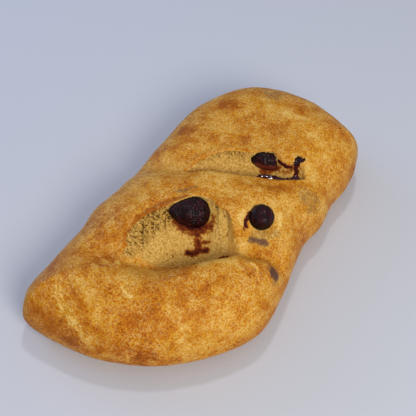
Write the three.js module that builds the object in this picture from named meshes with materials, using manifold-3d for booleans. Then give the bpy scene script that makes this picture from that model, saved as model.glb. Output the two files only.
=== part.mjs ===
// A small fougasse: one puffy loaf of fruit bread, slashed twice across before baking. The slashes
// opened in the oven into a deep front pocket and a narrower back one, each with torn pale crumb on
// its far wall, and four dark baked fruits show. Millimetres, +Z up, the loaf's length along Y, the
// origin in the middle of the flat underside.

import * as THREE from "three";
import { mergeVertices } from "three/addons/utils/BufferGeometryUtils.js";
import Module from "manifold-3d";

const wasm = await Module();
wasm.setup();

// ---- Driving dimensions, mm ------------------------------------------------------------------

// The loaf's outline in plan at its widest level, a closed smooth curve through these [x, y].
const OUTLINE = [
  [-32, 116], [12, 125], [53, 111], [63, 95], [65, 75], [63, 55], [65, 36], [62, 18], [63, 2],
  [68, -28], [68, -61], [48, -91], [20, -113], [-16, -125], [-57, -125], [-67, -117], [-70, -102],
  [-67, -60], [-69, -39], [-65, -17], [-62, 31], [-58, 78],
];
const OUTLINE_MIDDLE = [-0.2, -0.5]; // the middle of that outline in plan, which becomes the origin
const OUTLINE_STEPS = 8; // straight steps from one outline point to the next

const WIDEST_LEVEL = 19; // height of the widest level above the flat underside
const RISE = 35; // from the widest level to the top of a lobe
const SINK = 25; // from the widest level down to where an unflattened belly would end
const SHOULDER = 46; // how far in from the outline the rounding reaches
const ROUNDNESS = 2.2; // 2 is an elliptical shoulder, more is squarer

const SLASH_ANGLE = THREE.MathUtils.degToRad(28); // how far both slashes turn from the X axis

// Rows along a slash or a valley start with [along, across]: distances along the slash direction
// and at right angles to it, from the outline's own zero.
// A slash is open between its far lip and its crease, the bottom of the opening. Its near wall
// rolls up to the crust over the stated width.
const FRONT_SLASH = {
  lip: [ // [along, across, height]
    [-57, -45.5, 46], [-52, -41.5, 48.5], [-46, -32.5, 50.5], [-40, -25.5, 51.5], [-33, -21, 52],
    [-24, -16.5, 52.3], [-16, -11.8, 52.6], [-10, -8.6, 52.8], [-5, -7.9, 52.8], [-1, -9, 52.6],
    [1.5, -12.5, 52.3], [6.5, -17.5, 51.5], [9.6, -20.3, 50.5], [12.2, -23.8, 49.5], [14, -28, 48],
    [18, -35, 43], [22, -41, 38],
  ],
  crease: [
    [-57, -51, 46], [-53, -52, 43], [-36, -51, 34], [-20, -44, 23], [-5, -42, 21], [7, -43, 25],
    [22, -43, 37],
  ],
  roll: [[-53, 26], [-30, 34], [-10, 30], [6, 18], [22, 12]], // [along, width]
  closing: [[6, 0.7], [12, 0.16]], // at each end, the length that closes and how fast its floor rises
};
const BACK_SLASH = {
  lip: [
    [-22, 20, 51], [-14, 24.5, 52.5], [-7, 28, 54], [2, 31, 54], [12, 33, 54], [24, 31.5, 54],
    [32.5, 32.1, 54], [39, 32.2, 54], [41.7, 30, 53.5], [43.5, 27, 53], [46.8, 24.6, 52], [50.7, 23, 51],
    [53.5, 27, 51], [56.2, 29.2, 51], [59.4, 27.5, 50], [61.4, 23, 48], [65, 18, 45],
  ],
  crease: [[-22, 18, 51], [-5, 21, 38], [20, 20, 28], [45, 19, 30], [55, 19, 36], [65, 18, 46]],
  roll: [[-20, 8], [20, 10], [62, 10]],
  closing: [[6, 0.7], [6, 0.7]],
};
const NARROWEST = 5; // least width of a slash's far wall
const STEEPNESS = 0.72; // turns a height above a sloping wall into a distance from it
const LIP_ROUNDING = 1.5; // size of the rounded edge where a slash meets the crust
const NEAR_TOP = 58; // height that a slash's near wall rises towards, just above the lobes

// The valleys between the three lobes: [along, across, depth, width nearer the front, width behind].
const FRONT_VALLEY = [
  [-80, -52, 3, 14, 14], [-55, -50, 7, 14, 14], [-35, -50, 8, 14, 14], [-15, -46, 5, 14, 14],
  [10, -43, 6, 10, 16], [25, -43, 14, 8, 22], [38, -43, 13, 8, 22], [50, -54, 6, 8, 16],
  [60, -62, 0, 8, 12],
];
const BACK_VALLEY = [
  [-60, 36, 7, 12, 12], [-40, 29, 8, 12, 12], [-20, 23, 6, 12, 12], [0, 22, 2, 10, 10],
  [25, 15, 4, 10, 10], [45, 13, 7, 10, 9], [62, 17, 4, 12, 12], [78, 20, 1, 12, 12],
];

// Each fruit's middle, its three radii, how much it tapers towards the start of its length, how much
// that start narrows to a point, and its turn about X, Y and Z in degrees.
const FRUITS = {
  fruit_front: {
    at: [-5.2, -19.9, 46.2], radii: [14.1, 9.5, 9.3], taper: 0.4, point: 0.1, turn: [45, 20, 44],
  },
  fruit_right: { at: [37, -1, 46.5], radii: [8.4, 8.4, 8], taper: 0, point: 0, turn: [10, 0, 28] },
  fruit_back: { at: [16.8, 46, 45.2], radii: [12, 7.3, 7], taper: 0, point: 0, turn: [20, 12, 27] },
  fruit_back_small: { at: [34, 52.6, 47.6], radii: [7.6, 4, 3.3], taper: 0, point: 0, turn: [0, 6, 29] },
};
const FRUIT_GAP = 0.3; // clearance between a fruit and the crumb round it
const FRUIT_WRINKLE = 0.05; // height of a fruit's wrinkles, as a share of its radii
const FRUIT_DETAIL = 3; // how finely the ball of each fruit is divided

const CELL = 5.2; // size of the grid cells that the skin of the loaf is drawn through
const LENGTH_ALLOWED = 400; // side of the block that flattens the underside, longer than the loaf

// ---- Helpers ---------------------------------------------------------------------------------

const clamp = THREE.MathUtils.clamp;

// The value in one column of a table at a distance along it, on a smooth curve through its rows.
function follow(rows, along, column) {
  const last = rows.length - 1;
  let i = 0;
  while (i < last - 1 && along > rows[i + 1][0]) i += 1;
  const slopeAt = (k) => {
    const before = rows[Math.max(k - 1, 0)];
    const after = rows[Math.min(k + 1, last)];
    return (after[column] - before[column]) / (after[0] - before[0]);
  };
  const span = rows[i + 1][0] - rows[i][0];
  const t = clamp((along - rows[i][0]) / span, 0, 1);
  const start = rows[i][column] * (1 + 2 * t) * (1 - t) ** 2;
  const end = rows[i + 1][column] * t * t * (3 - 2 * t);
  return start + end + span * (slopeAt(i) * t * (1 - t) ** 2 - slopeAt(i + 1) * t * t * (1 - t));
}

// The larger of two numbers, with the corner between them rounded over the stated width.
function softMax(a, b, width) {
  const share = clamp(0.5 + (0.5 * (a - b)) / width, 0, 1);
  return b * (1 - share) + a * share + width * share * (1 - share);
}

function solidFrom(geometry) {
  const bare = geometry.index ? geometry.toNonIndexed() : geometry.clone();
  bare.deleteAttribute("normal");
  bare.deleteAttribute("uv");
  const merged = mergeVertices(bare, 1e-3);
  return new wasm.Manifold(new wasm.Mesh({
    numProp: 3,
    vertProperties: new Float32Array(merged.attributes.position.array),
    triVerts: new Uint32Array(merged.index.array),
  }));
}

function geometryFrom(solid) {
  const mesh = solid.getMesh();
  const geometry = new THREE.BufferGeometry();
  geometry.setAttribute("position", new THREE.BufferAttribute(mesh.vertProperties, 3));
  geometry.setIndex(new THREE.BufferAttribute(mesh.triVerts, 1));
  return geometry;
}

// ---- The loaf's shape, as a number that is below zero in the dough and above it outside ---------

const outlineCurve = new THREE.CatmullRomCurve3(
  OUTLINE.map(([x, y]) => new THREE.Vector3(x, y, 0)), true, "catmullrom", 0.5,
);
const outline = outlineCurve.getPoints(OUTLINE.length * OUTLINE_STEPS).slice(0, -1);

// How far a point in plan lies inside the outline.
function depthInside(x, y) {
  let nearest = Infinity;
  let inside = false;
  outline.forEach((a, i) => {
    const b = outline[(i + 1) % outline.length];
    const dx = b.x - a.x;
    const dy = b.y - a.y;
    const t = clamp(((x - a.x) * dx + (y - a.y) * dy) / (dx * dx + dy * dy), 0, 1);
    nearest = Math.min(nearest, Math.hypot(x - a.x - t * dx, y - a.y - t * dy));
    if (a.y > y !== b.y > y && x < a.x + ((y - a.y) * dx) / dy) inside = !inside;
  });
  return inside ? nearest : -nearest;
}

function valleyDepth(along, across, rows) {
  const offset = across - follow(rows, along, 1);
  const width = follow(rows, along, offset < 0 ? 3 : 4);
  return follow(rows, along, 2) * Math.exp(-((offset / width) ** 2));
}

// The pillow of dough before slashing.
function pillow(depth, along, across, z) {
  const valleys = valleyDepth(along, across, FRONT_VALLEY) + valleyDepth(along, across, BACK_VALLEY);
  const half = z > WIDEST_LEVEL ? RISE - valleys : SINK;
  const inward = Math.max(1 - depth / SHOULDER, 0) ** ROUNDNESS;
  const upward = Math.abs((z - WIDEST_LEVEL) / half) ** ROUNDNESS;
  return ((inward + upward) ** (1 / ROUNDNESS) - 1) * half;
}

// The open space of a slash, above zero inside it.
function opening(along, across, z, { lip, crease, roll, closing }) {
  const bottomAcross = follow(crease, along, 1);
  const bottom = follow(crease, along, 2);
  const offset = across - bottomAcross;
  let floor;
  if (offset > 0) {
    const reach = Math.max(follow(lip, along, 1) - bottomAcross, NARROWEST);
    floor = bottom + (follow(lip, along, 2) - bottom) * (offset / reach);
  } else {
    const rolled = clamp(-offset / follow(roll, along, 1), 0, 1);
    floor = bottom + (NEAR_TOP - bottom) * Math.sin((rolled * Math.PI) / 2);
  }
  const toEnds = [along - lip[0][0], lip[lip.length - 1][0] - along];
  toEnds.forEach((distance, end) => {
    const [length, rise] = closing[end];
    floor += Math.max(length - distance, 0) ** 2 * rise;
  });
  return (z - floor) * STEEPNESS;
}

function dough(x, y, z, depth) {
  const along = x * Math.cos(SLASH_ANGLE) + y * Math.sin(SLASH_ANGLE);
  const across = y * Math.cos(SLASH_ANGLE) - x * Math.sin(SLASH_ANGLE);
  const uncut = pillow(depth, along, across, z);
  const slashed = softMax(uncut, opening(along, across, z, FRONT_SLASH), LIP_ROUNDING);
  return softMax(slashed, opening(along, across, z, BACK_SLASH), LIP_ROUNDING);
}

// ---- The loaf's faceted skin, drawn through a grid of cells --------------------------------------

// A cell's eight corners, its twelve edges as pairs of corners, the edge between two corners, and
// the cell's six faces as rings of corners.
const CORNERS = [...Array(8).keys()].map((n) => [n & 1, (n >> 1) & 1, n >> 2]);
const EDGES = [];
CORNERS.forEach((a, m) => [1, 2, 4].forEach((step) => {
  if ((m & step) === 0) EDGES.push([m, m | step]);
}));
const edgeBetween = (m, n) => EDGES.findIndex(([a, b]) => a === Math.min(m, n) && b === Math.max(m, n));
const FACES = [0, 1, 2].flatMap((axis) => [0, 1].map((end) => {
  const [side, up] = [1 << ((axis + 1) % 3), 1 << ((axis + 2) % 3)];
  const base = end << axis;
  return [base, base | side, base | side | up, base | up];
}));

// The sheets of surface that pass through a cell, each as a list of the edges it crosses.
function sheetsThrough(inside) {
  const sheetOf = EDGES.map(([m, n], e) => (inside[m] !== inside[n] ? e : -1));
  const link = (e, f) => {
    const [from, to] = [sheetOf[e], sheetOf[f]];
    sheetOf.forEach((sheet, g) => { if (sheet === from) sheetOf[g] = to; });
  };
  for (const face of FACES) {
    const crossed = face.map((m, n) => edgeBetween(m, face[(n + 1) % 4])).filter((e) => sheetOf[e] >= 0);
    if (crossed.length === 2) link(...crossed);
    if (crossed.length === 4) {
      face.forEach((m, n) => {
        if (inside[m]) link(edgeBetween(m, face[(n + 1) % 4]), edgeBetween(m, face[(n + 3) % 4]));
      });
    }
  }
  return [...new Set(sheetOf)].filter((sheet) => sheet >= 0)
    .map((sheet) => EDGES.map((_, e) => e).filter((e) => sheetOf[e] === sheet));
}

// Each sheet in a cell gets a vertex at the mean of its crossings, and each crossed edge of the grid
// a four-sided face between the cells round it.
function skin() {
  const box = new THREE.Box3().setFromPoints(outline);
  box.min.z = WIDEST_LEVEL - SINK;
  box.max.z = WIDEST_LEVEL + RISE;
  box.expandByScalar(CELL * 1.5);
  const count = box.getSize(new THREE.Vector3()).toArray().map((side) => Math.ceil(side / CELL) + 1);
  const nodeIndex = ([i, j, k]) => (i * count[1] + j) * count[2] + k;
  const eachNode = (visit, from, to) => {
    for (let i = from; i < count[0] - to; i += 1) {
      for (let j = from; j < count[1] - to; j += 1) {
        for (let k = from; k < count[2] - to; k += 1) visit([i, j, k]);
      }
    }
  };

  const values = new Float32Array(count[0] * count[1] * count[2]);
  const depths = new Map();
  eachNode(([i, j, k]) => {
    const [x, y, z] = [box.min.x + i * CELL, box.min.y + j * CELL, box.min.z + k * CELL];
    const column = i * count[1] + j;
    if (!depths.has(column)) depths.set(column, depthInside(x, y));
    values[nodeIndex([i, j, k])] = dough(x, y, z, depths.get(column));
  }, 0, 0);

  const positions = [];
  const vertexOf = new Map(); // by cell and edge
  eachNode((cell) => {
    const corner = CORNERS.map((offset) => values[nodeIndex(cell.map((n, axis) => n + offset[axis]))]);
    for (const sheet of sheetsThrough(corner.map((value) => value < 0))) {
      const mean = new THREE.Vector3();
      for (const edge of sheet) {
        const [m, n] = EDGES[edge];
        const [start, end] = [new THREE.Vector3(...CORNERS[m]), new THREE.Vector3(...CORNERS[n])];
        mean.add(start.lerp(end, corner[m] / (corner[m] - corner[n])));
        vertexOf.set(nodeIndex(cell) * EDGES.length + edge, positions.length / 3);
      }
      mean.divideScalar(sheet.length).add(new THREE.Vector3(...cell)).multiplyScalar(CELL).add(box.min);
      positions.push(...mean.toArray());
    }
  }, 0, 1);

  const triangles = [];
  eachNode((node) => [0, 1, 2].forEach((axis) => {
    const next = node.map((n, a) => n + (a === axis ? 1 : 0));
    const leaving = values[nodeIndex(node)] < 0;
    if (leaving === values[nodeIndex(next)] < 0) return;
    const [side, up] = [(axis + 1) % 3, (axis + 2) % 3];
    const face = [[1, 1], [0, 1], [0, 0], [1, 0]].map(([s, u]) => {
      const cell = [...node];
      cell[side] -= s;
      cell[up] -= u;
      const corner = (s << side) | (u << up);
      return vertexOf.get(nodeIndex(cell) * EDGES.length + edgeBetween(corner, corner | (1 << axis)));
    });
    if (!leaving) face.reverse();
    triangles.push(face[0], face[1], face[2], face[0], face[2], face[3]);
  }), 1, 1);

  const geometry = new THREE.BufferGeometry();
  geometry.setAttribute("position", new THREE.Float32BufferAttribute(positions, 3));
  geometry.setIndex(triangles);
  return geometry;
}

// ---- Fruits: shrunken, wrinkled balls of baked fruit ---------------------------------------------

function fruitGeometry({ at, radii, taper, point: tip, turn }, growth, wave) {
  const ball = new THREE.IcosahedronGeometry(1, FRUIT_DETAIL);
  const place = ball.attributes.position;
  const point = new THREE.Vector3();
  for (let i = 0; i < place.count; i += 1) {
    point.fromBufferAttribute(place, i);
    const folds = Math.sin(5 * point.x + wave) * Math.sin(6 * point.y + 2 * wave)
      + 0.7 * Math.sin(7 * point.z + 3 * wave + 2 * point.x);
    const girth = (1 + taper * point.x) * (1 - tip * clamp(-point.x, 0, 1) ** 2);
    point.multiplyScalar(1 + FRUIT_WRINKLE * folds);
    place.setXYZ(
      i,
      point.x * (radii[0] + growth),
      point.y * (girth * radii[1] + growth),
      point.z * (girth * radii[2] + growth),
    );
  }
  const [tx, ty, tz] = turn.map((degrees) => THREE.MathUtils.degToRad(degrees));
  ball.rotateX(tx).rotateY(ty).rotateZ(tz);
  ball.translate(...at);
  return ball;
}

// ---- Materials --------------------------------------------------------------------------------

const crust = new THREE.MeshStandardMaterial({ color: 0xc98a35, roughness: 0.55, metalness: 0 });
const fruitSkin = new THREE.MeshStandardMaterial({ color: 0x2b1a1c, roughness: 0.3, metalness: 0 });

// ---- Assembly ---------------------------------------------------------------------------------

const fougasse = new THREE.Group();
const toOrigin = [-OUTLINE_MIDDLE[0], -OUTLINE_MIDDLE[1], 0];

function add(name, geometry, material) {
  const mesh = new THREE.Mesh(geometry, material);
  mesh.name = name;
  mesh.geometry.translate(...toOrigin);
  fougasse.add(mesh);
}

const tableDepth = SINK * 2;
const table = new THREE.BoxGeometry(LENGTH_ALLOWED, LENGTH_ALLOWED, tableDepth);
table.translate(0, 0, -tableDepth / 2);
let loaf = solidFrom(skin()).subtract(solidFrom(table));
Object.values(FRUITS).forEach((fruit, i) => {
  loaf = loaf.subtract(solidFrom(fruitGeometry(fruit, FRUIT_GAP, i)));
});
add("loaf", geometryFrom(loaf), crust);
Object.entries(FRUITS).forEach(([name, fruit], i) => {
  add(name, geometryFrom(solidFrom(fruitGeometry(fruit, 0, i))), fruitSkin);
});

export default fougasse;
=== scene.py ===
"""A small fougasse: fruit bread slashed twice before baking, golden outside and torn pale inside."""
import math

import bmesh
import bpy
import numpy as np
import openvdb
from mathutils import Euler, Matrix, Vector, noise


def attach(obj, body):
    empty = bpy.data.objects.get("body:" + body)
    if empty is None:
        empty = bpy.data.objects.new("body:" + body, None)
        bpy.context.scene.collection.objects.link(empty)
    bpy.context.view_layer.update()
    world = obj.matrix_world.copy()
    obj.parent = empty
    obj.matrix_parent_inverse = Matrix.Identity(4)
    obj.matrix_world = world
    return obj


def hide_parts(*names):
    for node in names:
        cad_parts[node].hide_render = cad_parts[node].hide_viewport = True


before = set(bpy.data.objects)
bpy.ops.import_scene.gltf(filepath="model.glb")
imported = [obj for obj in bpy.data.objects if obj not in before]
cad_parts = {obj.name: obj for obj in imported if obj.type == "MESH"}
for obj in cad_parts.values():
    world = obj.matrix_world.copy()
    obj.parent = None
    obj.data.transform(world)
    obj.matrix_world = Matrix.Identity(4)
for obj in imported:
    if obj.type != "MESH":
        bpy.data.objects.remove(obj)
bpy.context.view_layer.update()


# ---- Baked fruits -----------------------------------------------------------------------------
# Four whole soft cherries kneaded into the dough. Baking has driven out their juice, so the skins
# have shrunk into fine folds and set nearly black. Each sits in a hollow of the crumb.

MM = 0.001
OUTLINE_MIDDLE = np.array([-0.2, -0.5, 0.0])  # the middle of the loaf's outline, which is the origin

# Millimetres and degrees. Taper is how much a fruit narrows towards the start of its length, and
# point how much that start narrows further. Fold and depth are the size of the skin's folds and how
# deep they are, and bare is where on the length the smooth start ends. Flesh is the level below which
# the skin has torn and the red flesh shows. Detail is how finely the fruit is divided.
FRUITS = {
    "fruit_front": {
        "at": (-5.2, -19.9, 46.2), "radii": (14.1, 9.5, 9.3), "taper": 0.4, "point": 0.1,
        "turn": (45, 20, 44),
        "fold": 2.6, "depth": 1.0, "bare": -0.25, "flesh": 0, "detail": 6,
    },
    "fruit_right": {
        "at": (37, -1, 46.5), "radii": (8.4, 8.4, 8), "taper": 0, "point": 0, "turn": (10, 0, 28),
        "fold": 1.8, "depth": 0.5, "bare": -2, "flesh": 0, "detail": 5,
    },
    "fruit_back": {
        "at": (16.8, 46, 45.2), "radii": (12, 7.3, 7), "taper": 0, "point": 0, "turn": (20, 12, 27),
        "fold": 2.2, "depth": 0.7, "bare": -2, "flesh": 47.3, "detail": 5,
    },
    "fruit_back_small": {
        "at": (34, 52.6, 47.6), "radii": (7.6, 4, 3.3), "taper": 0, "point": 0, "turn": (0, 6, 29),
        "fold": 2.0, "depth": 0.7, "bare": -2, "flesh": 0, "detail": 5,
    },
}
SMALL_FOLDS = 0.45  # size of the folds between the folds, as a share of theirs
DENT_SIZE = 6
DENT_DEPTH = 0.6


def linear(hex_colour):
    """An sRGB hex colour as the linear values that shaders take."""
    parts = [int(hex_colour[i : i + 2], 16) / 255 for i in (1, 3, 5)]
    return tuple(p / 12.92 if p <= 0.04045 else ((p + 0.055) / 1.055) ** 2.4 for p in parts) + (1,)


def add_node(material, kind, inputs=None, output=None, **settings):
    """Adds a shader node with its settings and its inputs, by identifier, and returns an output."""
    node = material.node_tree.nodes.new("ShaderNode" + kind)
    for name, value in settings.items():
        setattr(node, name, value)
    for name, value in (inputs or {}).items():
        socket = next(s for s in node.inputs if s.identifier == name)
        if isinstance(value, bpy.types.NodeSocket):
            material.node_tree.links.new(value, socket)
        else:
            socket.default_value = value
    return node.outputs[output] if output else next((s for s in node.outputs if s.enabled), None)


def new_material(name):
    material = bpy.data.materials.new(name)
    material.use_nodes = True
    material.node_tree.nodes.clear()
    return material


def noise_at(points, size, seed=0.0):
    """Smooth noise from -1 to 1 whose lumps are about this size, at each point in mm."""
    return np.array([noise.noise(p) for p in (points / size + seed).tolist()])


def add_piece(name, points, faces, material, replaced=()):
    """Makes an object from points in mm of the outline's own zero, which rides on the loaf's body."""
    mesh = bpy.data.meshes.new(name)
    mesh.from_pydata(((points - OUTLINE_MIDDLE) * MM).tolist(), [], faces)
    mesh.polygons.foreach_set("use_smooth", [True] * len(mesh.polygons))
    mesh.materials.append(material)
    piece = bpy.data.objects.new(name, mesh)
    bpy.context.collection.objects.link(piece)
    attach(piece, "root")
    if replaced:
        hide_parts(*replaced)
    return piece


# Cherry skin after baking: nearly black purple, wet enough to shine softly on its folds.
cherry_skin = new_material("baked_cherry_skin")
place = add_node(cherry_skin, "TexCoord", output="Object")
patches = add_node(cherry_skin, "TexNoise", {"Vector": place, "Scale": 1000 / 4, "Detail": 3.0})
creases = add_node(cherry_skin, "TexNoise", {"Vector": place, "Scale": 1000 / 0.9, "Detail": 2.0})
redder = add_node(cherry_skin, "MapRange", {"Value": patches, "From Min": 0.45, "From Max": 0.7})
skin_colour = add_node(cherry_skin, "Mix", {
    "Factor_Float": redder,
    "A_Color": linear("#180609"),
    "B_Color": linear("#3A0E17"),
}, data_type="RGBA")
skin_colour = add_node(cherry_skin, "Mix", {
    "Factor_Float": add_node(cherry_skin, "Attribute", output="Fac", attribute_name="flesh"),
    "A_Color": skin_colour,
    "B_Color": linear("#6C3022"),
}, data_type="RGBA")
skin_bump = add_node(cherry_skin, "Bump", {"Height": creases, "Distance": 0.3 * MM, "Strength": 0.9})
add_node(cherry_skin, "OutputMaterial", {"Surface": add_node(cherry_skin, "BsdfPrincipled", {
    "Base Color": skin_colour,
    "Roughness": 0.4,
    "IOR": 1.4,
    "Specular IOR Level": 0.15,
    "Coat Weight": 0.15,
    "Coat Roughness": 0.12,
    "Normal": skin_bump,
})})


def fruit_turn(fruit):
    """The matrix that turns a fruit from lying along X to its place in the loaf."""
    return np.array(Euler([math.radians(angle) for angle in fruit["turn"]], "XYZ").to_matrix())


def fruit_girth(fruit, share):
    """How thick a fruit is, as a share of its radii, at a share of its length from -1 to 1."""
    return (1 + fruit["taper"] * share) * (1 - fruit["point"] * np.clip(-share, 0, 1) ** 2)


for seed, (name, fruit) in enumerate(FRUITS.items()):
    ball = bmesh.new()
    bmesh.ops.create_icosphere(ball, subdivisions=fruit["detail"], radius=1)
    unit = np.array([vertex.co for vertex in ball.verts])
    skin = unit * fruit["radii"]
    skin[:, 1:] *= fruit_girth(fruit, unit[:, :1])
    folds = 1 - np.abs(noise_at(skin, fruit["fold"], seed + 0.5)) * 3
    small_folds = 1 - np.abs(noise_at(skin, fruit["fold"] * SMALL_FOLDS, seed + 9.5)) * 3
    sunk = np.clip(folds, 0, 1) ** 2 + 0.4 * np.clip(small_folds, 0, 1) ** 2
    sunk = sunk * np.clip((unit[:, 0] - fruit["bare"]) * 3, 0.2, 1)
    dents = 0.5 + noise_at(skin, DENT_SIZE, seed + 4.5)
    skin = skin - unit * (sunk * fruit["depth"] + dents * DENT_DEPTH)[:, None]
    points = skin @ fruit_turn(fruit).T + fruit["at"]
    faces = [[vertex.index for vertex in face.verts] for face in ball.faces]
    ball.free()
    fruit_skin = add_piece(name + "_skin", points, faces, cherry_skin, [name])
    flesh = fruit_skin.data.attributes.new("flesh", "FLOAT", "POINT")
    flesh.data.foreach_set("value", np.clip((fruit["flesh"] - points[:, 2]) / 2 + dents - 0.5, 0, 1))


# ---- The loaf ---------------------------------------------------------------------------------
# One piece of enriched wheat dough, shaped by hand, slashed with a blade, proved and baked on a
# tray. The oven opened the slashes and tore the crumb on their far walls.

# The outline in plan at the widest level, in mm, a closed smooth curve through these points.
OUTLINE = np.array([
    (-32, 116), (12, 125), (53, 111), (63, 95), (65, 75), (63, 55), (65, 36), (62, 18), (63, 2),
    (68, -28), (68, -61), (48, -91), (20, -113), (-16, -125), (-57, -125), (-67, -117), (-70, -102),
    (-67, -60), (-69, -39), (-65, -17), (-62, 31), (-58, 78),
], float)
WIDEST_LEVEL = 19  # height of the widest level above the tray
RISE = 35  # from the widest level to the top of a lobe
SINK = 25  # from the widest level down to where an unflattened belly would end
SHOULDER = 46  # how far in from the outline the rounding reaches
ROUNDNESS = 2.2  # 2 is an elliptical shoulder, more is squarer
SLASH_ANGLE = math.radians(28)  # how far both slashes turn from the X axis
SKIN_INSET = 0.3  # keeps the bread's skin inside the flat faces of its CAD solid

# Rows: distance along the slash, distance across it, then a height. Or along, then a size. Crease is
# the bottom of the slash, roll how wide its near wall is, and rounding how softly its edge turns in.
# Crust is how thick the crust is at the lip, undercut how far the crumb has drawn back from under it,
# and rim how far the lip has curled up. Ends is where along it the torn crumb passes into crust.
# Closing is the length over which each end closes and how fast its floor rises.
FRONT_SLASH = {
    "lip": [
        (-57, -45.5, 46), (-52, -41.5, 48.5), (-46, -32.5, 50.5), (-40, -25.5, 51.5), (-33, -21, 52),
        (-24, -16.5, 52.3), (-16, -11.8, 52.6), (-10, -8.6, 52.8), (-5, -7.9, 52.8), (-1, -9, 52.6),
        (1.5, -12.5, 52.3), (6.5, -17.5, 51.5), (9.6, -20.3, 50.5), (12.2, -23.8, 49.5), (14, -28, 48),
        (18, -35, 43), (22, -41, 38),
    ],
    "crease": [
        (-57, -51, 46), (-53, -52, 43), (-36, -51, 34), (-20, -44, 23), (-5, -42, 21), (7, -43, 25),
        (22, -43, 37),
    ],
    "roll": [(-53, 26), (-30, 34), (-10, 30), (6, 18), (22, 12)],
    "rounding": [(-53, 1.2), (-1, 1.2), (9, 2), (12, 4), (15, 10), (22, 12)],
    "near_rounding": 9,
    "crust": [
        (-57, 1), (-52, 1.2), (-48, 2.2), (-43, 3.4), (-34, 3.6), (-26, 2.8), (-2, 2.4), (4, 2.9), (12, 3.2),
        (15, 4), (22, 6),
    ],
    "undercut": [
        (-55, 0), (-50, 1), (-44, 2.6), (-36, 3.2), (-24, 3.2), (-10, 2.4), (0, 1.6), (4, 2.6), (9, 3.2),
        (13, 2.6), (16, 0.8), (19, 0), (22, 0),
    ],
    "rim": [
        (-54, 0), (-48, 1.6), (-40, 2.2), (-24, 2), (-14, 1.4), (-4, 0.3), (3, 0.6), (12, 1), (16, 0.3),
        (19, 0), (22, 0),
    ],
    "ends": (7, 17),
    "closing": ((6, 0.7), (12, 0.16)),
}
BACK_SLASH = {
    "lip": [
        (-22, 20, 51), (-14, 24.5, 52.5), (-7, 28, 54), (2, 31, 54), (12, 33, 54), (24, 31.5, 54),
        (32.5, 32.1, 54), (39, 32.2, 54), (41.7, 30, 53.5), (43.5, 27, 53), (46.8, 24.6, 52), (50.7, 23, 51),
        (53.5, 27, 51), (56.2, 29.2, 51), (59.4, 27.5, 50), (61.4, 23, 48), (65, 18, 45),
    ],
    "crease": [(-22, 18, 51), (-5, 21, 38), (20, 20, 28), (45, 19, 30), (55, 19, 36), (65, 18, 46)],
    "roll": [(-20, 8), (20, 10), (62, 10)],
    "rounding": [(-20, 1.2), (50, 1.2), (62, 3)],
    "near_rounding": 3,
    "crust": [(-20, 1.4), (10, 1.5), (50, 1.5), (62, 3)],
    "undercut": [(-20, 0), (-12, 1.2), (10, 2.2), (24, 2.4), (50, 2.0), (58, 1), (65, 0)],
    "rim": [(-20, 0), (-10, 0.4), (24, 0.4), (50, 0.3), (62, 0)],
    "ends": (60, 66),
    "closing": ((6, 0.7), (6, 0.7)),
}
NARROWEST = 5  # least width of a slash's far wall
STEEPNESS = 0.72  # turns height over a wall into distance from it
NEAR_TOP = 58  # level that the near wall rolls up to, over the crust's top

# Shallow valleys between the lobes. Rows: along, across, depth, width in front, width behind.
FRONT_VALLEY = [
    (-80, -52, 3, 14, 14), (-55, -50, 7, 14, 14), (-35, -50, 8, 14, 14), (-15, -46, 5, 14, 14),
    (10, -43, 6, 10, 16), (25, -43, 14, 8, 22), (38, -43, 13, 8, 22), (50, -54, 6, 8, 16),
    (60, -62, 0, 8, 12),
]
BACK_VALLEY = [
    (-60, 36, 7, 12, 12), (-40, 29, 8, 12, 12), (-20, 23, 6, 12, 12), (0, 22, 2, 10, 10),
    (25, 15, 4, 10, 10), (45, 13, 7, 10, 9), (62, 17, 4, 12, 12), (78, 20, 1, 12, 12),
]

# Hollows that the fruits leave: a fruit's name, how far the hollow is shifted, and its growth.
HOLLOWS = [
    ("fruit_front", (0, 0, 0), -0.5),
    ("fruit_right", (0.3, -1.2, 0.8), -0.5),
    ("fruit_back", (0, 0, 0), -0.5),
    ("fruit_back_small", (0, 0, 0), -0.5),
]


def follow(rows, along, column=1):
    """The value in one column of a table at each distance along it, on a smooth curve."""
    rows = np.array(rows, float)
    at, value = rows[:, 0], rows[:, column]
    before = np.maximum(np.arange(len(at)) - 1, 0)
    after = np.minimum(np.arange(len(at)) + 1, len(at) - 1)
    slope = (value[after] - value[before]) / (at[after] - at[before])
    i = np.clip(np.searchsorted(at, along) - 1, 0, len(at) - 2)
    span = at[i + 1] - at[i]
    t = np.clip((along - at[i]) / span, 0, 1)
    ends = value[i] * (1 + 2 * t) * (1 - t) ** 2 + value[i + 1] * t * t * (3 - 2 * t)
    return ends + span * (slope[i] * t * (1 - t) ** 2 - slope[i + 1] * t * t * (1 - t))


def smooth_loop(points, steps):
    """A closed smooth curve through the points."""
    p = [np.roll(points, shift, axis=0)[:, None] for shift in (1, 0, -1, -2)]
    t = (np.arange(steps) / steps)[None, :, None]
    curve = 2 * p[1] + (p[2] - p[0]) * t
    curve = curve + (2 * p[0] - 5 * p[1] + 4 * p[2] - p[3]) * t**2
    curve = curve + (3 * p[1] - p[0] - 3 * p[2] + p[3]) * t**3
    return curve.reshape(-1, 2) / 2


outline = smooth_loop(OUTLINE, 8)


def depth_inside(x, y):
    """How far each point in plan lies inside the outline, below zero outside it."""
    nearest = np.full(x.shape, np.inf)
    inside = np.zeros(x.shape, bool)
    for a, b in zip(outline, np.roll(outline, -1, axis=0)):
        d = b - a
        t = np.clip(((x - a[0]) * d[0] + (y - a[1]) * d[1]) / (d @ d), 0, 1)
        nearest = np.minimum(nearest, (x - a[0] - t * d[0]) ** 2 + (y - a[1] - t * d[1]) ** 2)
        if a[1] != b[1]:
            inside ^= ((a[1] > y) != (b[1] > y)) & (x < a[0] + (y - a[1]) * d[0] / d[1])
    nearest = np.sqrt(nearest)
    return np.where(inside, nearest, -nearest) - SKIN_INSET


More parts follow.
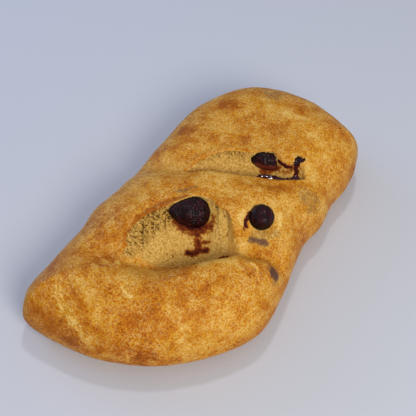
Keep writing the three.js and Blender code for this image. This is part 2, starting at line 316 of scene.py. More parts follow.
def turned(x, y):
    """Distances along and across the slashes."""
    cos, sin = math.cos(SLASH_ANGLE), math.sin(SLASH_ANGLE)
    return x * cos + y * sin, y * cos - x * sin


def turned_back(along, across):
    """X and Y from the distances along and across the slashes."""
    cos, sin = math.cos(SLASH_ANGLE), math.sin(SLASH_ANGLE)
    return along * cos - across * sin, along * sin + across * cos


def soft_max(a, b, width):
    """The larger of two values, rounded off where they are within the width of each other."""
    share = np.clip(0.5 + 0.5 * (a - b) / width, 0, 1)
    return b * (1 - share) + a * share + width * share * (1 - share)


def pillow(x, y, z, depth):
    """The dough before slashing, below zero inside it."""
    along, across = turned(x, y)
    valleys = 0
    for rows in (FRONT_VALLEY, BACK_VALLEY):
        offset = across - follow(rows, along, 1)
        width = np.where(offset < 0, follow(rows, along, 3), follow(rows, along, 4))
        valleys = valleys + follow(rows, along, 2) * np.exp(-((offset / width) ** 2))
    half = np.where(z > WIDEST_LEVEL, RISE - valleys, SINK)
    inward = np.maximum(1 - depth / SHOULDER, 0) ** ROUNDNESS
    upward = np.abs((z - WIDEST_LEVEL) / half) ** ROUNDNESS
    return ((inward + upward) ** (1 / ROUNDNESS) - 1) * half


def smooth_step(value, low, high):
    """0 at low and 1 at high, eased at both. High may be the smaller of the two."""
    t = np.clip((value - low) / (high - low), 0, 1)
    return t * t * (3 - 2 * t)


def slash_walls(x, y, z, slash, body):
    """The open space over the torn far wall and over the crust-covered near wall, above zero in it."""
    along, across = turned(x, y)
    crease_across, crease = follow(slash["crease"], along, 1), follow(slash["crease"], along, 2)
    lip_across, lip = follow(slash["lip"], along, 1), follow(slash["lip"], along, 2)
    closing = 0
    to_ends = (along - slash["lip"][0][0], slash["lip"][-1][0] - along)
    for to_end, (length, rise) in zip(to_ends, slash["closing"]):
        closing = closing + np.maximum(length - to_end, 0) ** 2 * rise
    reach = np.maximum(lip_across - crease_across, NARROWEST)
    floor = crease + (lip - crease) * (across - crease_across) / reach
    far = (z - floor - closing) * STEEPNESS
    ragged = 0.3 * np.sin(along * 0.83) + 0.2 * np.sin(along * 1.9 + 1)
    drawn_back = follow(slash["undercut"], along) * (1 + ragged) * smooth_step(-body, 14, 6)
    under_crust = -body - follow(slash["crust"], along)
    far = soft_max(far, np.minimum(far + drawn_back * STEEPNESS, under_crust), 0.4)
    rolled = np.clip((crease_across - across) / follow(slash["roll"], along), 0, 1)
    near_floor = crease + (NEAR_TOP - crease) * np.sin(rolled * np.pi / 2)
    return far, (z - near_floor - closing) * STEEPNESS


def hollow(x, y, z, name, shift, growth):
    """A fruit's hollow, above zero in it."""
    fruit = FRUITS[name]
    away = np.stack([x, y, z], axis=-1) - np.add(fruit["at"], shift)
    away = away @ fruit_turn(fruit)
    share = np.clip(away[..., :1] / fruit["radii"][0], -1, 1)
    away[..., 1:] /= fruit_girth(fruit, share)
    return (1 - np.sqrt(((away / (np.array(fruit["radii"]) + growth)) ** 2).sum(axis=-1))) * 8


def risen(x, y, z, depth):
    """The dough before slashing, with the places where the lips curl up, below zero inside it."""
    body = pillow(x, y, z, depth)
    along, across = turned(x, y)
    for slash in (FRONT_SLASH, BACK_SLASH):
        behind = across - follow(slash["lip"], along, 1)
        curl = np.exp(-(((behind - 1) / 2.5) ** 2)) - 0.5 * np.exp(-(((behind - 7) / 3) ** 2))
        body = body - np.where(z > WIDEST_LEVEL, follow(slash["rim"], along) * curl, 0)
    return body


def dough(x, y, z, depth):
    """Below zero inside the slashed loaf."""
    field = body = risen(x, y, z, depth)
    for slash in (FRONT_SLASH, BACK_SLASH):
        along = turned(x, y)[0]
        far, near = slash_walls(x, y, z, slash, body)
        far_share = smooth_step(near - far, -2, 3)
        rounding = follow(slash["rounding"], along) * far_share + slash["near_rounding"] * (1 - far_share)
        field = soft_max(field, np.minimum(far, near), rounding)
    for name, shift, growth in HOLLOWS:
        field = soft_max(field, hollow(x, y, z, name, shift, growth), 0.8)
    return np.maximum(field, -z)


def dough_at(points):
    """The dough's field at each point."""
    x, y, z = points.T
    return dough(x, y, z, depth_inside(x, y))


COARSE = 2.8  # spacing of the grid lines that the skin is taken from, mm
FINE = 1.3  # the same near the slashes


def grid_lines(low, high, fine_spans):
    """Grid lines from low to high, closer together in the fine spans."""
    lines = [low]
    while lines[-1] < high:
        is_fine = any(a <= lines[-1] < b for a, b in fine_spans)
        lines.append(lines[-1] + (FINE if is_fine else COARSE))
    return np.array(lines)


def loaf_skin():
    """The loaf's skin as points and quads."""
    along, across = turned(*outline.T)
    lines = [
        grid_lines(along.min() - 4, along.max() + 4, [(-58, 66)]),
        grid_lines(across.min() - 4, across.max() + 4, [(-54, 0), (12, 40)]),
        grid_lines(-3 * COARSE, WIDEST_LEVEL + RISE + 4, [(18, 60)]),
    ]
    x, y = turned_back(*np.meshgrid(lines[0], lines[1], indexing="ij"))
    depth = depth_inside(x, y)
    values = np.stack([dough(x, y, np.full_like(x, z), depth) for z in lines[2]], axis=-1)
    grid = openvdb.FloatGrid()
    grid.background = 3.0
    grid.copyFromArray(values.astype(np.float32))
    points, quads = grid.convertToQuads(0.0)
    along, across, z = [np.interp(points[:, i], range(len(lines[i])), lines[i]) for i in range(3)]
    return np.stack([*turned_back(along, across), np.maximum(z, 0)], axis=-1), quads


def torn_share(points):
    """1 on torn crumb and 0 on crust."""
    x, y, z = points.T
    body = risen(x, y, z, depth_inside(x, y))
    along = turned(x, y)[0]
    torn = np.zeros(len(points))
    for slash in (FRONT_SLASH, BACK_SLASH):
        far, near = slash_walls(x, y, z, slash, body)
        share = smooth_step(-body / follow(slash["crust"], along), 0.85, 1.3)
        share = share * smooth_step(far, -2.5, -1) * smooth_step(near - far, -0.2, 1.2)
        share = share * smooth_step(along, slash["ends"][1], slash["ends"][0])
        torn = np.maximum(torn, share)
    for name, shift, growth in HOLLOWS:
        torn = np.maximum(torn, smooth_step(hollow(x, y, z, name, shift, growth) - body, -0.6, 0.3))
    return torn


def to_path(points, path):
    """The distance to a path of places in mm, and how far along it the nearest place is."""
    path = np.array(path, float)
    if len(path) == 1:
        return np.linalg.norm(points - path[0], axis=1), np.zeros(len(points))
    nearest, travelled, so_far = np.full(len(points), np.inf), np.zeros(len(points)), 0.0
    for a, b in zip(path, path[1:]):
        d = b - a
        t = np.clip((points - a) @ d / (d @ d), 0, 1)
        distance = np.linalg.norm(points - a - t[:, None] * d, axis=1)
        travelled = np.where(distance < nearest, so_far + t * np.linalg.norm(d), travelled)
        nearest = np.minimum(nearest, distance)
        so_far += np.linalg.norm(d)
    return nearest, travelled


points, quads = loaf_skin()
bread_mesh = bmesh.new()
for point in points.tolist():
    bread_mesh.verts.new(point)
bread_mesh.verts.ensure_lookup_table()
for quad in quads.tolist():
    bread_mesh.faces.new([bread_mesh.verts[i] for i in quad])

# Small places on the crust that need fine faces: cracks, flakes and pinholes, as paths in mm.
CRACK = [(49, -38, 48), (52, -38, 47), (54, -39, 46), (55, -42, 46), (57, -44, 45), (59, -44, 43)]
FLAKES = [(-48, -106, 49), (-40, -113, 45), (-31, -118, 41), (-21, -122, 35), (-15, -122, 32)]
FOLD = [(-46, -99, 50), (-40, -104, 50), (-34, -108, 48), (-28, -111, 47), (-22, -113, 45)]
SCUFF = [(-17, -15, 54), (-13, -10, 54), (-9, -4, 54)]
PINHOLES = [
    (59, -77, 22), (42, -63, 50), (24, 68, 54), (28, 70, 54), (22, 64, 54), (43, 81, 50), (28, 55, 53),
    (45, 67, 49), (49, 63, 46), (52, 67, 44), (54, 66, 42), (59, 71, 37), (-16, 35, 54), (-9, 61, 54),
    (21, 67, 53), (26, 67, 53), (31, 66, 52), (27, 59, 53), (35, 66, 52), (41, 62, 50), (33, 78, 52),
    (58, 61, 35), (62, 75, 33), (21, 61, 54), (58, -78, 21),
]


def refine_torn(mesh):
    """Divides the faces of the torn crumb and of the small places on the crust."""
    mesh.verts.index_update()
    points = np.array([vertex.co for vertex in mesh.verts])
    wanted = torn_share(points) > 0.1
    for path, reach in [(CRACK, 3), (FLAKES, 7)] + [([hole], 1.5) for hole in PINHOLES]:
        wanted |= to_path(points, path)[0] < reach
    chosen = {e for f in mesh.faces if any(wanted[v.index] for v in f.verts) for e in f.edges}
    bmesh.ops.subdivide_edges(mesh, edges=list(chosen), cuts=2, use_grid_fill=True)
    bmesh.ops.triangulate(mesh, faces=[f for f in mesh.faces if len(f.verts) > 4])
    mesh.verts.ensure_lookup_table()
    mesh.verts.index_update()


refine_torn(bread_mesh)
points = np.array([vertex.co for vertex in bread_mesh.verts])
faces = [[vertex.index for vertex in face.verts] for face in bread_mesh.faces]

# Settle the points onto the dough's surface.
for _ in range(2):
    value = dough_at(points)
    step = 0.02
    slope = np.stack([dough_at(points + step * axis) for axis in np.eye(3)], axis=-1)
    slope = (slope - value[:, None]) / step
    move = np.clip(value / np.maximum((slope**2).sum(axis=-1), 0.2), -0.4, 0.4)
    points = points - move[:, None] * slope
points[:, 2] = np.maximum(points[:, 2], 0)
for vertex, point in zip(bread_mesh.verts, points.tolist()):
    vertex.co = point
bread_mesh.normal_update()
normals = np.array([vertex.normal for vertex in bread_mesh.verts])
bread_mesh.free()

torn = torn_share(points)
on_tray = smooth_step(points[:, 2], 1.2, 0.2)
below_crust = -risen(*points.T, depth_inside(*points[:, :2].T))
deep = smooth_step(below_crust, 2.5, 5)

# Torn crumb: strands of dough cross in a net under the lip, with open cells between them. Rows: the
# slash, where along it the strands start and stop, how far down they reach and how far apart they are.
STRANDS = [(FRONT_SLASH, -54, -22, 17, 2.5), (BACK_SLASH, -13, 24, 8, 2.2)]
crumb_depth = np.zeros(len(points))
open_cells = np.zeros(len(points))
along = turned(points[:, 0], points[:, 1])[0]
sway = noise_at(points, 4.5, 3.1) + 0.4 * noise_at(points, 1.8, 7.7)
for slash, first, last, reach, apart in STRANDS:
    lip = [(*turned_back(a, c), z) for a, c, z in slash["lip"]]
    from_lip, along_lip = to_path(points, lip)
    strength = smooth_step(along, first - 3, first + 3) * smooth_step(along, last + 3, last - 3)
    strength = strength * smooth_step(from_lip + 2.5 * sway, reach, reach * 0.35)
    from_strand = np.full(len(points), 1.0)
    for slant, bend in ((0.3, 1.0), (-0.45, -1.3)):
        turns = (along_lip + slant * from_lip) / apart + bend * sway
        from_strand = np.minimum(from_strand, np.abs(np.sin(np.pi * turns)))
    open_here = torn * strength * smooth_step(from_strand, 0.3, 0.62)
    crumb_depth = np.maximum(crumb_depth, (0.4 + 1.9 * deep) * open_here)
    open_cells = np.maximum(open_cells, open_here)

# Between the strands the crumb has small closed cells all over, and larger pores here and there.
small = np.array([noise.voronoi(p)[0][:2] for p in (points / 1.6).tolist()])
small_cells = smooth_step(small[:, 1] - small[:, 0], 0.1, 0.7)
pores = smooth_step(noise_at(points, 2.2, 5.3), 0.3, 0.48)
pores = pores * smooth_step(noise_at(points, 8, 2.2), -0.1, 0.3)
crumb_depth = np.maximum(crumb_depth, torn * (0.22 * small_cells + deep * 0.9 * pores))
crumb_depth = crumb_depth + torn * (0.2 + 0.3 * deep * noise_at(points, 4.5, 1.9))
open_cells = np.maximum(open_cells, torn * pores * 0.9)

# Rows of pores that stand out, as paths in mm, darkened with painted shade in their cells.
PORE_ROWS = [
    [(-14, -58, 37), (-12, -54, 37), (-8, -51, 35), (-5, -46, 34)], [(-24, -56, 46), (-22, -51, 46)],
    [(25, -17, 47), (28, -17, 47), (30, -17, 46)],
    # This row paints the shadow line under the front slash's right flap.
    [(9, -11, 49), (13, -12, 48), (18, -12, 47), (22, -14, 47)],
]
pore_cells = np.array([noise.voronoi(p)[0][0] for p in (points / 2.4).tolist()])
for path in PORE_ROWS:
    row = torn * smooth_step(to_path(points, path)[0], 2.2, 1) * smooth_step(pore_cells, 0.42, 0.25)
    crumb_depth = np.maximum(crumb_depth, 1.2 * row)
    open_cells = np.maximum(open_cells, row)

# Crust: broad lumps, fine leathery wrinkles, and the flakes, the fold, the crack and the pinholes.
crust = 1 - torn
lumps = 0.35 * noise_at(points, 17, 0.7) + 0.2 * noise_at(points, 7, 4.4)
wrinkles = 0.1 * noise_at(points, 3, 8.1)
crust_depth = 0.4 - lumps - wrinkles
from_crack, _ = to_path(points, CRACK)
from_flakes, along_flakes = to_path(points, FLAKES)
from_fold, _ = to_path(points, FOLD)
flake_grain = np.stack([from_flakes / 1.5, along_flakes / 9, points[:, 2] / 9], axis=-1)
flaky = smooth_step(from_flakes, 8, 2)
ridges = np.abs(np.array([noise.noise(p) for p in flake_grain.tolist()]))
crust_depth += flaky * (0.9 * ridges - 0.1)
flakes = flaky * smooth_step(ridges, 0.09, 0.03)
crust_depth += 0.6 * smooth_step(from_fold, 1.8, 0.2)
crust_depth += 0.8 * smooth_step(from_crack, 1.1, 0.4) - 0.3 * smooth_step(from_crack, 2.4, 1.2)
for hole in PINHOLES:
    crust_depth += 0.9 * smooth_step(to_path(points, [hole])[0], 0.9, 0.3)
sunk = np.maximum(crumb_depth, 0) + crust * np.maximum(crust_depth, 0)
sunk = sunk * (1 - on_tray)
points = points - normals * sunk[:, None]
points[:, 2] = np.maximum(points[:, 2], 0)

# Juice from the fruits, with some painted shade among it, places where fruit shows through the crust,
# and darker or paler baking, with painted shade too, as paths in mm with how far each spreads and how strong
# it is.
JUICE_AND_SHADE = [
    ([(-9, -28, 43), (-4, -28, 41), (0, -27, 39), (3, -25, 38), (7, -22, 39), (9, -19, 41)],
     6.5, 0.8),
    ([(-1, -27, 40), (2, -25, 39), (4, -23, 39)], 4, 1.2),
    ([(10, -15, 45), (11, -18, 43), (11, -20, 40)], 4.5, 0.5),
    ([(5, -25, 37), (6, -28, 35), (7, -29, 32), (8, -31, 30)], 4.2, 0.85),
    ([(3, -37, 29), (6, -36, 28), (9, -33, 29), (11, -31, 29), (13, -30, 30)], 3.2, 1.0),
    ([(8, -29, 32), (10, -27, 33), (13, -26, 34)], 2, 0.7),
    # Painted shade: the dark hole at the bottom of the front slash's crease.
    ([(24, -31, 29), (26, -30, 30), (28, -29, 31)], 2.4, 0.9),
    ([(30, -4, 49), (30, -8, 48), (30, -11, 47), (32, -12, 46)], 2.0, 1.6),
    ([(31, -14, 46), (32, -15, 45)], 1.4, 0.9),
    ([(17, 39, 41), (21, 41, 41), (24, 43, 43), (27, 43, 45)], 4.5, 0.7),
    ([(26, 44, 50), (30, 44, 49), (32, 44, 48), (35, 46, 47)], 2, 1.8),
    # Partly juice and partly painted shade, under the back slash's lip.
    ([(30, 43, 44), (33, 44, 44), (35, 46, 44)], 4, 0.45),
    ([(36, 50, 46), (37, 48, 43), (38, 47, 41), (38, 46, 40)], 2.8, 1.6),
    ([(34, 46, 48), (35, 45, 46)], 2.2, 0.8),
    # Painted shade under the back slash's lip, right of the drip.
    ([(40, 50, 46), (42, 48, 44), (42, 47, 42)], 4, 0.3),
]
BRUISES = [
    ([(61, -31, 37)], 8.5, 1.0),
    ([(38, -16, 41), (42, -14, 39), (46, -13, 39)], 4.2, 0.85),
    ([(38, -12, 42), (42, -10, 41), (46, -8, 40), (49, -5, 41)], 5, 0.45),
    (SCUFF, 2.2, 0.7),
    ([(58, 31, 38), (54, 31, 42)], 11, 0.5),
    ([(-7, 99, 51)], 13, 0.5),
]
BROWNED_AND_SHADED = [
    ([(-28, 73, 52)], 10, 1.0), ([(18, 93, 52)], 11, 0.7), ([(-1, 48, 54)], 6, 1.2),
    ([(-43, 42, 48)], 10, 0.7), ([(33, 21, 50), (41, 30, 46)], 7, 0.6),
    ([(-26, -60, 49), (-26, -52, 50), (-26, -44, 52), (-24, -38, 53), (-21, -34, 53), (-18, -29, 53),
      (-14, -22, 53), (-9, -17, 53)], 5, 0.9),
    # These two paint shade on the near lobe's left side, which faces away from the key lamp.
    ([(-55, -119, 37), (-50, -108, 45), (-45, -121, 30), (-26, -124, 26)], 14, 0.65),
    ([(-47, -103, 45), (-56, -90, 42)], 18, 0.4),
    # Painted shade on the near lobe's top, which faces back, away from the key lamp.
    ([(-40, -70, 50), (-10, -66, 51), (15, -62, 52)], 12, 0.4),
    ([(11, -103, 44), (28, -98, 40), (41, -86, 41)], 16, 0.4),
    ([(-17, -120, 35), (-6, -121, 28), (21, -111, 24)], 9, 0.4),
    ([(8, -9, 46), (15, -9, 48), (21, -13, 51)], 3, 0.4),
    (FOLD, 3.5, 0.6),
    ([(-32, -84, 50), (-32, -79, 48), (-29, -76, 48), (-24, -78, 48), (-24, -83, 50), (-28, -85, 51),
      (-32, -84, 50)], 2, 0.9),
]
PALE = [
    ([(-6, 88, 52), (20, 90, 52)], 15, 0.35), ([(47, 78, 48)], 18, 0.3), ([(30, -100, 35)], 22, 0.25),
    (CRACK, 1.3, 1.4), (FLAKES, 4, 0.5), ([(27, -6, 50), (27, -11, 49), (30, -13, 47)], 3.4, 1.0),
    ([(-34, -101, 51)], 4, 0.7), ([(-21, -76, 49)], 4, 0.9), ([(-20, -60, 50), (-12, -63, 50)], 4, 0.5),
    ([(-10, -92, 51), (-6, -94, 51), (-2, -96, 50), (1, -95, 50), (4, -95, 50)], 1.2, 1.2),
    ([(2, -82, 53), (7, -84, 53), (11, -87, 52)], 1.2, 0.9),
    ([(46, 7, 46), (48, 3, 44), (49, -3, 42), (48, -7, 40)], 2.6, 0.7),
    ([(9, -117, 25), (9, -117, 16)], 1, 1.2),
]
LOW_BROWNING = 0.12  # how much browner the sides are, near the tray


def marked(marks, raggedness, softness=0.7):
    """How strongly each point of the skin is marked, with ragged edges."""
    total = np.zeros(len(points))
    ragged = raggedness * (noise_at(points, 3, 6.6) + 0.8 * noise_at(points, 1.3, 2.8))
    for path, reach, strength in marks:
        near = 1 - to_path(points, path)[0] / reach
        total = np.maximum(total, strength * smooth_step(near + ragged, 0, softness))
    return total


# Browning and painted shade, less the pale places and the flakes.
browned_and_shaded = marked(BROWNED_AND_SHADED, 0.35) - marked(PALE, 0.25) - flakes
browned_and_shaded = browned_and_shaded + LOW_BROWNING * smooth_step(points[:, 2], 34, 12)

bread = new_material("golden_crust_and_torn_crumb")
loaf = add_piece("loaf_bread", points, faces, bread, ["loaf"])
for name, values in {
    "torn": torn,
    "open_cells": open_cells,
    "juice": marked(JUICE_AND_SHADE, 0.3, 1),
    "bruise": marked(BRUISES, 0.35),
    "browned_and_shaded": browned_and_shaded,
}.items():
    attribute = loaf.data.attributes.new(name, "FLOAT", "POINT")
    attribute.data.foreach_set("value", values)

# Golden crust: egg-washed, so it has a soft sheen. Its colour is mottled where the wash and the
# heat were uneven, and pale veins show where the skin of the dough stretched as it rose.
place = add_node(bread, "TexCoord", output="Object")
torn_here, open_here, juice_and_shade_here, bruise_here, browned_and_shaded_here = [
    add_node(bread, "Attribute", output="Fac", attribute_name=name)
    for name in ("torn", "open_cells", "juice", "bruise", "browned_and_shaded")
]
warp = add_node(bread, "TexNoise", {"Vector": place, "Scale": 1000 / 5, "Detail": 2.0}, output="Color")
warp = add_node(bread, "VectorMath", {"Vector": warp, "Scale": 3 * MM}, operation="SCALE")
warped = add_node(bread, "VectorMath", {"Vector": place, "Vector_001": warp}, operation="ADD")
broad = add_node(bread, "TexNoise", {"Vector": place, "Scale": 1000 / 30, "Detail": 2.0})
patch = add_node(bread, "TexNoise", {"Vector": warped, "Scale": 1000 / 9, "Detail": 2.0})
mottle = add_node(bread, "TexNoise", {
    "Vector": warped, "Scale": 1000 / 3.4, "Detail": 3.0, "Roughness": 0.6,
})
grain = add_node(bread, "TexNoise", {"Vector": warped, "Scale": 1000 / 1.1, "Detail": 2.0})
veins = add_node(bread, "TexNoise", {
    "Vector": warped, "Scale": 1000 / 3.2, "Detail": 3.0, "Roughness": 0.6,
})
veins = add_node(bread, "Math", {"Value": veins, "Value_001": 0.5}, operation="SUBTRACT")
veins = add_node(bread, "Math", {"Value": veins}, operation="ABSOLUTE")
veins = add_node(bread, "MapRange", {"Value": veins, "From Min": 0.055, "From Max": 0.0})


def fill_ramp(ramp, stops):
    """Gives a colour ramp its places from 0 to 1 and their hex colours."""
    while len(ramp.elements) < len(stops):
        ramp.elements.new(0.5)
    for element, (at, colour) in zip(ramp.elements, stops):
        element.position = at
        element.color = linear(colour)


# The browned marks also carry painted shade on the near lobe's left side and top.
bake = grain
for part, share in ((mottle, 0.4), (broad, 0.6), (patch, 0.5), (browned_and_shaded_here, 0.3)):
    bake = add_node(bread, "Math", {
        "Value": part, "Value_001": share, "Value_002": bake,
    }, operation="MULTIPLY_ADD")
bake = add_node(bread, "MapRange", {"Value": bake, "From Min": 0.87, "From Max": 1.63})
evenly_browned_and_shaded = add_node(bread, "MapRange", {"Value": browned_and_shaded_here, "From Max": 1.4, "To Max": 0.55})
bake = add_node(bread, "Mix", {"Factor_Float": evenly_browned_and_shaded, "A_Float": bake, "B_Float": 0.66})
crust_colour = add_node(bread, "ValToRGB", {"Fac": bake}, output="Color")
fill_ramp(crust_colour.node.color_ramp, [
    (0.0, "#F0C672"), (0.3, "#DA9E34"), (0.48, "#CD8818"),
    (0.64, "#C07009"), (0.82, "#AB5A04"), (1.0, "#7E3C04"),
])
vein_strength = add_node(bread, "MapRange", {
    "Value": patch, "From Min": 0.65, "From Max": 0.4, "To Min": 0.1, "To Max": 0.75,
})
vein_share = add_node(bread, "Math", {"Value": veins, "Value_001": vein_strength}, operation="MULTIPLY")
vein_share = add_node(bread, "Math", {
    "Value": evenly_browned_and_shaded, "Value_001": -0.7, "Value_002": vein_share,
}, operation="MULTIPLY_ADD")
vein_share = add_node(bread, "Clamp", {"Value": vein_share})
crust_colour = add_node(bread, "Mix", {
    "Factor_Float": vein_share, "A_Color": crust_colour, "B_Color": linear("#EBC070"),
}, data_type="RGBA")

# Torn crumb: matte, cream with a yellow cast from eggs and butter; painted shade darkens its open cells.
crumb_grain = add_node(bread, "TexNoise", {"Vector": place, "Scale": 1000 / 1.3, "Detail": 3.0})
crumb_grain = add_node(bread, "MapRange", {"Value": crumb_grain, "From Min": 0.35, "From Max": 0.65})
crumb_colour = add_node(bread, "Mix", {
    "Factor_Float": crumb_grain, "A_Color": linear("#BC8E38"), "B_Color": linear("#E4BB69"),
}, data_type="RGBA")
# Painted shade in the open cells.
painted_cell_shade = add_node(bread, "MapRange", {
    "Value": open_here, "From Min": 0.45, "From Max": 1.0, "To Max": 0.8,
})
crumb_colour = add_node(bread, "Mix", {
    "Factor_Float": painted_cell_shade, "A_Color": crumb_colour, "B_Color": linear("#6B4C18"),
}, data_type="RGBA")
# Painted shade: dark specks stand in for the shadow inside tiny pinholes of the crust.
pit = add_node(bread, "TexVoronoi", {"Vector": place, "Scale": 1000 / 6}, output="Distance")
pit = add_node(bread, "MapRange", {"Value": pit, "From Min": 0.085, "From Max": 0.05})
painted_pit_shade = add_node(bread, "MapRange", {"Value": patch, "From Min": 0.5, "From Max": 0.6, "To Max": 0.8})
painted_pit_shade = add_node(bread, "Math", {"Value": pit, "Value_001": painted_pit_shade}, operation="MULTIPLY")
crust_colour = add_node(bread, "Mix", {
    "Factor_Float": painted_pit_shade, "A_Color": crust_colour, "B_Color": linear("#4F3A1A"),
}, data_type="RGBA")
colour = add_node(bread, "Mix", {
    "Factor_Float": torn_here, "A_Color": crust_colour, "B_Color": crumb_colour,
}, data_type="RGBA")

# Cherry juice soaked into the crumb and set, caramel to nearly black; some of these marks are painted shade.
crumb_texture = add_node(bread, "Math", {"Value": crumb_grain, "Value_001": 0.5}, operation="SUBTRACT")
taken_up = add_node(bread, "Math", {
    "Value": crumb_texture, "Value_001": -0.5, "Value_002": 1,
}, operation="MULTIPLY_ADD")
juice_and_shade_here = add_node(bread, "Math", {"Value": juice_and_shade_here, "Value_001": taken_up}, operation="MULTIPLY")
juice_and_shade_colour = add_node(bread, "ValToRGB", {"Fac": juice_and_shade_here}, output="Color")
fill_ramp(juice_and_shade_colour.node.color_ramp, [
    (0.0, "#BF8836"), (0.35, "#A2611B"), (0.65, "#7A3410"), (1.0, "#3E110E"),
])
juice_and_shade_share = add_node(bread, "MapRange", {"Value": juice_and_shade_here, "From Min": 0.05, "From Max": 0.45})
colour = add_node(bread, "Mix", {
    "Factor_Float": juice_and_shade_share, "A_Color": colour, "B_Color": juice_and_shade_colour,
}, data_type="RGBA")

# Fruit that shows through the crust, in specks.
speckled = bruise_here
for part, share in ((mottle, 0.6), (grain, 0.8)):
    speckled = add_node(bread, "Math", {
        "Value": part, "Value_001": share, "Value_002": speckled,
    }, operation="MULTIPLY_ADD")
deeper = add_node(bread, "MapRange", {"Value": bruise_here, "From Min": 0.4, "From Max": 0.9})
bruise_colour = add_node(bread, "Mix", {
    "Factor_Float": deeper, "A_Color": linear("#8E7140"), "B_Color": linear("#472730"),
}, data_type="RGBA")
bruise_share = add_node(bread, "MapRange", {
    "Value": speckled, "From Min": 0.85, "From Max": 1.5, "To Max": 0.85,
})
colour = add_node(bread, "Mix", {
    "Factor_Float": bruise_share, "A_Color": colour, "B_Color": bruise_colour,
}, data_type="RGBA")
relief = mottle
for part, share in ((grain, 0.8), (veins, 0.25)):
    relief = add_node(bread, "Math", {
        "Value": part, "Value_001": share, "Value_002": relief,
    }, operation="MULTIPLY_ADD")
bread_bump = add_node(bread, "Bump", {"Height": relief, "Distance": 0.5 * MM, "Strength": 0.75})
roughness = add_node(bread, "MapRange", {"Value": torn_here, "To Min": 0.48, "To Max": 0.85})
add_node(bread, "OutputMaterial", {"Surface": add_node(bread, "BsdfPrincipled", {
    "Base Color": colour,
    "Roughness": roughness,
    "IOR": 1.45,
    "Specular IOR Level": 0.15,
    "Normal": bread_bump,
})})


# ---- Juice in the back slash --------------------------------------------------------------------
# Cherry juice that ran out in the oven, gathered in the bottom of the back slash below its fruits
# and set there to a wet, nearly black jelly.

JUICE_LEVEL = 38.6
JUICE_CLIMB = 0.8  # how far it climbs the walls it wets
JUICE_ENDS = (32, 59)  # along the slash
JUICE_RIPPLE = 0.08
JUICE_FRONT = 24  # distance across the slash where its top starts to slope down to the front
JUICE_FRONT_SHIFT = 0.8  # how much nearer that is at the right
JUICE_STEP = 0.6  # how much its top steps up over each of the next stretches along the slash
JUICE_STEPS = ((40, 42.5), (48, 50.5))
JUICE_GRID = 0.5  # spacing of the grid lines that it is taken from


def juice_pool():
    """The pool as points and quads. Its top slopes and steps, so that it shows over the near lip."""
    lines = [np.arange(*span, JUICE_GRID) for span in ((14, 68), (8, 36), (26, 43))]
    along, across, z = np.meshgrid(*lines, indexing="ij")
    x, y = turned_back(along, across)
    values = dough(x, y, z, depth_inside(x, y))
    past_end = np.maximum(JUICE_ENDS[0] - along, along - JUICE_ENDS[1])
    level = JUICE_LEVEL + JUICE_RIPPLE * np.sin(along * 0.75) * np.sin(across * 0.9 + along * 0.4)
    for start, stop in JUICE_STEPS:
        level = level + JUICE_STEP * smooth_step(along, start, stop)
    front = JUICE_FRONT - JUICE_FRONT_SHIFT * smooth_step(along, 40, 50)
    level = level - 0.05 * np.maximum(front - across, 0) ** 2
    level = level + JUICE_CLIMB * np.exp(-np.maximum(values, 0) / JUICE_CLIMB)
    level = level - np.maximum(past_end, 0) ** 2 * 0.3
    grid = openvdb.FloatGrid()
    grid.background = 3.0
    grid.copyFromArray(np.maximum(z - level, -values - 0.5).astype(np.float32))
    points, quads = grid.convertToQuads(0.0)
    along, across, z = [lines[i][0] + points[:, i] * JUICE_GRID for i in range(3)]
    return np.stack([*turned_back(along, across), z], axis=-1), quads.tolist()


# Set juice: nearly black red, and wet enough to mirror the lamps.
set_juice = new_material("set_cherry_juice")
add_node(set_juice, "OutputMaterial", {"Surface": add_node(set_juice, "BsdfPrincipled", {
    "Base Color": linear("#3A0714"),
    "Roughness": 0.08,
    "IOR": 1.4,
})})
add_piece("juice_pool", *juice_pool(), set_juice)


# ---- Table, light and camera ------------------------------------------------------------------
# A plain pale table in a cool room. A soft lamp stands at the front right, a weak one overhead, a
# small one behind that glints in the juice, and a blue one at the left.

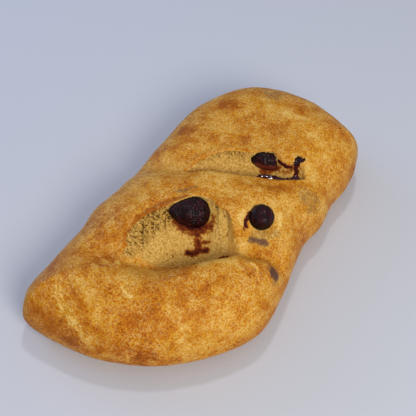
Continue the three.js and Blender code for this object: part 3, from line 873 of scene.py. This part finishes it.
VIEW_FROM = Vector((204.9, -367.5, 517.9)) * MM
VIEW_AT = Vector((-4.2, 4.08, 27.02)) * MM
FOCAL_PIXELS = 988  # the focal length, in pixels of the picture
FRAME_PIXELS = 416  # the picture's width

table_top = new_material("pale_matte_table")
add_node(table_top, "OutputMaterial", {"Surface": add_node(table_top, "BsdfPrincipled", {
    "Base Color": linear("#CDCFD6"), "Roughness": 0.9,
})})
table_mesh = bpy.data.meshes.new("table")
table_mesh.from_pydata([(-3, -3, 0), (3, -3, 0), (3, 3, 0), (-3, 3, 0)], [], [(0, 1, 2, 3)])
table_mesh.materials.append(table_top)
table = bpy.data.objects.new("table", table_mesh)
bpy.context.collection.objects.link(table)

camera_data = bpy.data.cameras.new("camera")
camera_data.sensor_width = 36
camera_data.lens = camera_data.sensor_width * FOCAL_PIXELS / FRAME_PIXELS
camera = bpy.data.objects.new("camera", camera_data)
camera.location = VIEW_FROM
camera.rotation_euler = (VIEW_AT - VIEW_FROM).to_track_quat("-Z", "Y").to_euler()
bpy.context.collection.objects.link(camera)
bpy.context.scene.camera = camera


def add_lamp(name, place, size, power, tint):
    """Adds a round lamp that points at the loaf."""
    lamp = bpy.data.lights.new(name, "AREA")
    lamp.shape = "DISK"
    lamp.size = size
    lamp.energy = power
    lamp.color = tint
    stand = bpy.data.objects.new(name, lamp)
    stand.location = place
    stand.rotation_euler = (Vector((0, 0, 0.03)) - Vector(place)).to_track_quat("-Z", "Y").to_euler()
    bpy.context.collection.objects.link(stand)


add_lamp("key", (0.85, -0.65, 0.85), 0.6, 11, (1, 0.95, 0.87))
add_lamp("overhead", (0.2, -0.2, 1.3), 1.0, 0.8, (1, 0.98, 0.95))
add_lamp("back_glint", (-0.13, 0.34, 1.32), 0.12, 2.6, (1, 1, 1))
add_lamp("blue_fill", (-1.0, 0.1, 0.35), 0.8, 4, (0.4, 0.55, 1))
world = bpy.data.worlds.new("room")
world.use_nodes = True
world.node_tree.nodes["Background"].inputs["Color"].default_value = (0.76, 0.84, 1, 1)
world.node_tree.nodes["Background"].inputs["Strength"].default_value = 0.37
bpy.context.scene.world = world
bpy.context.scene.view_settings.view_transform = "Standard"
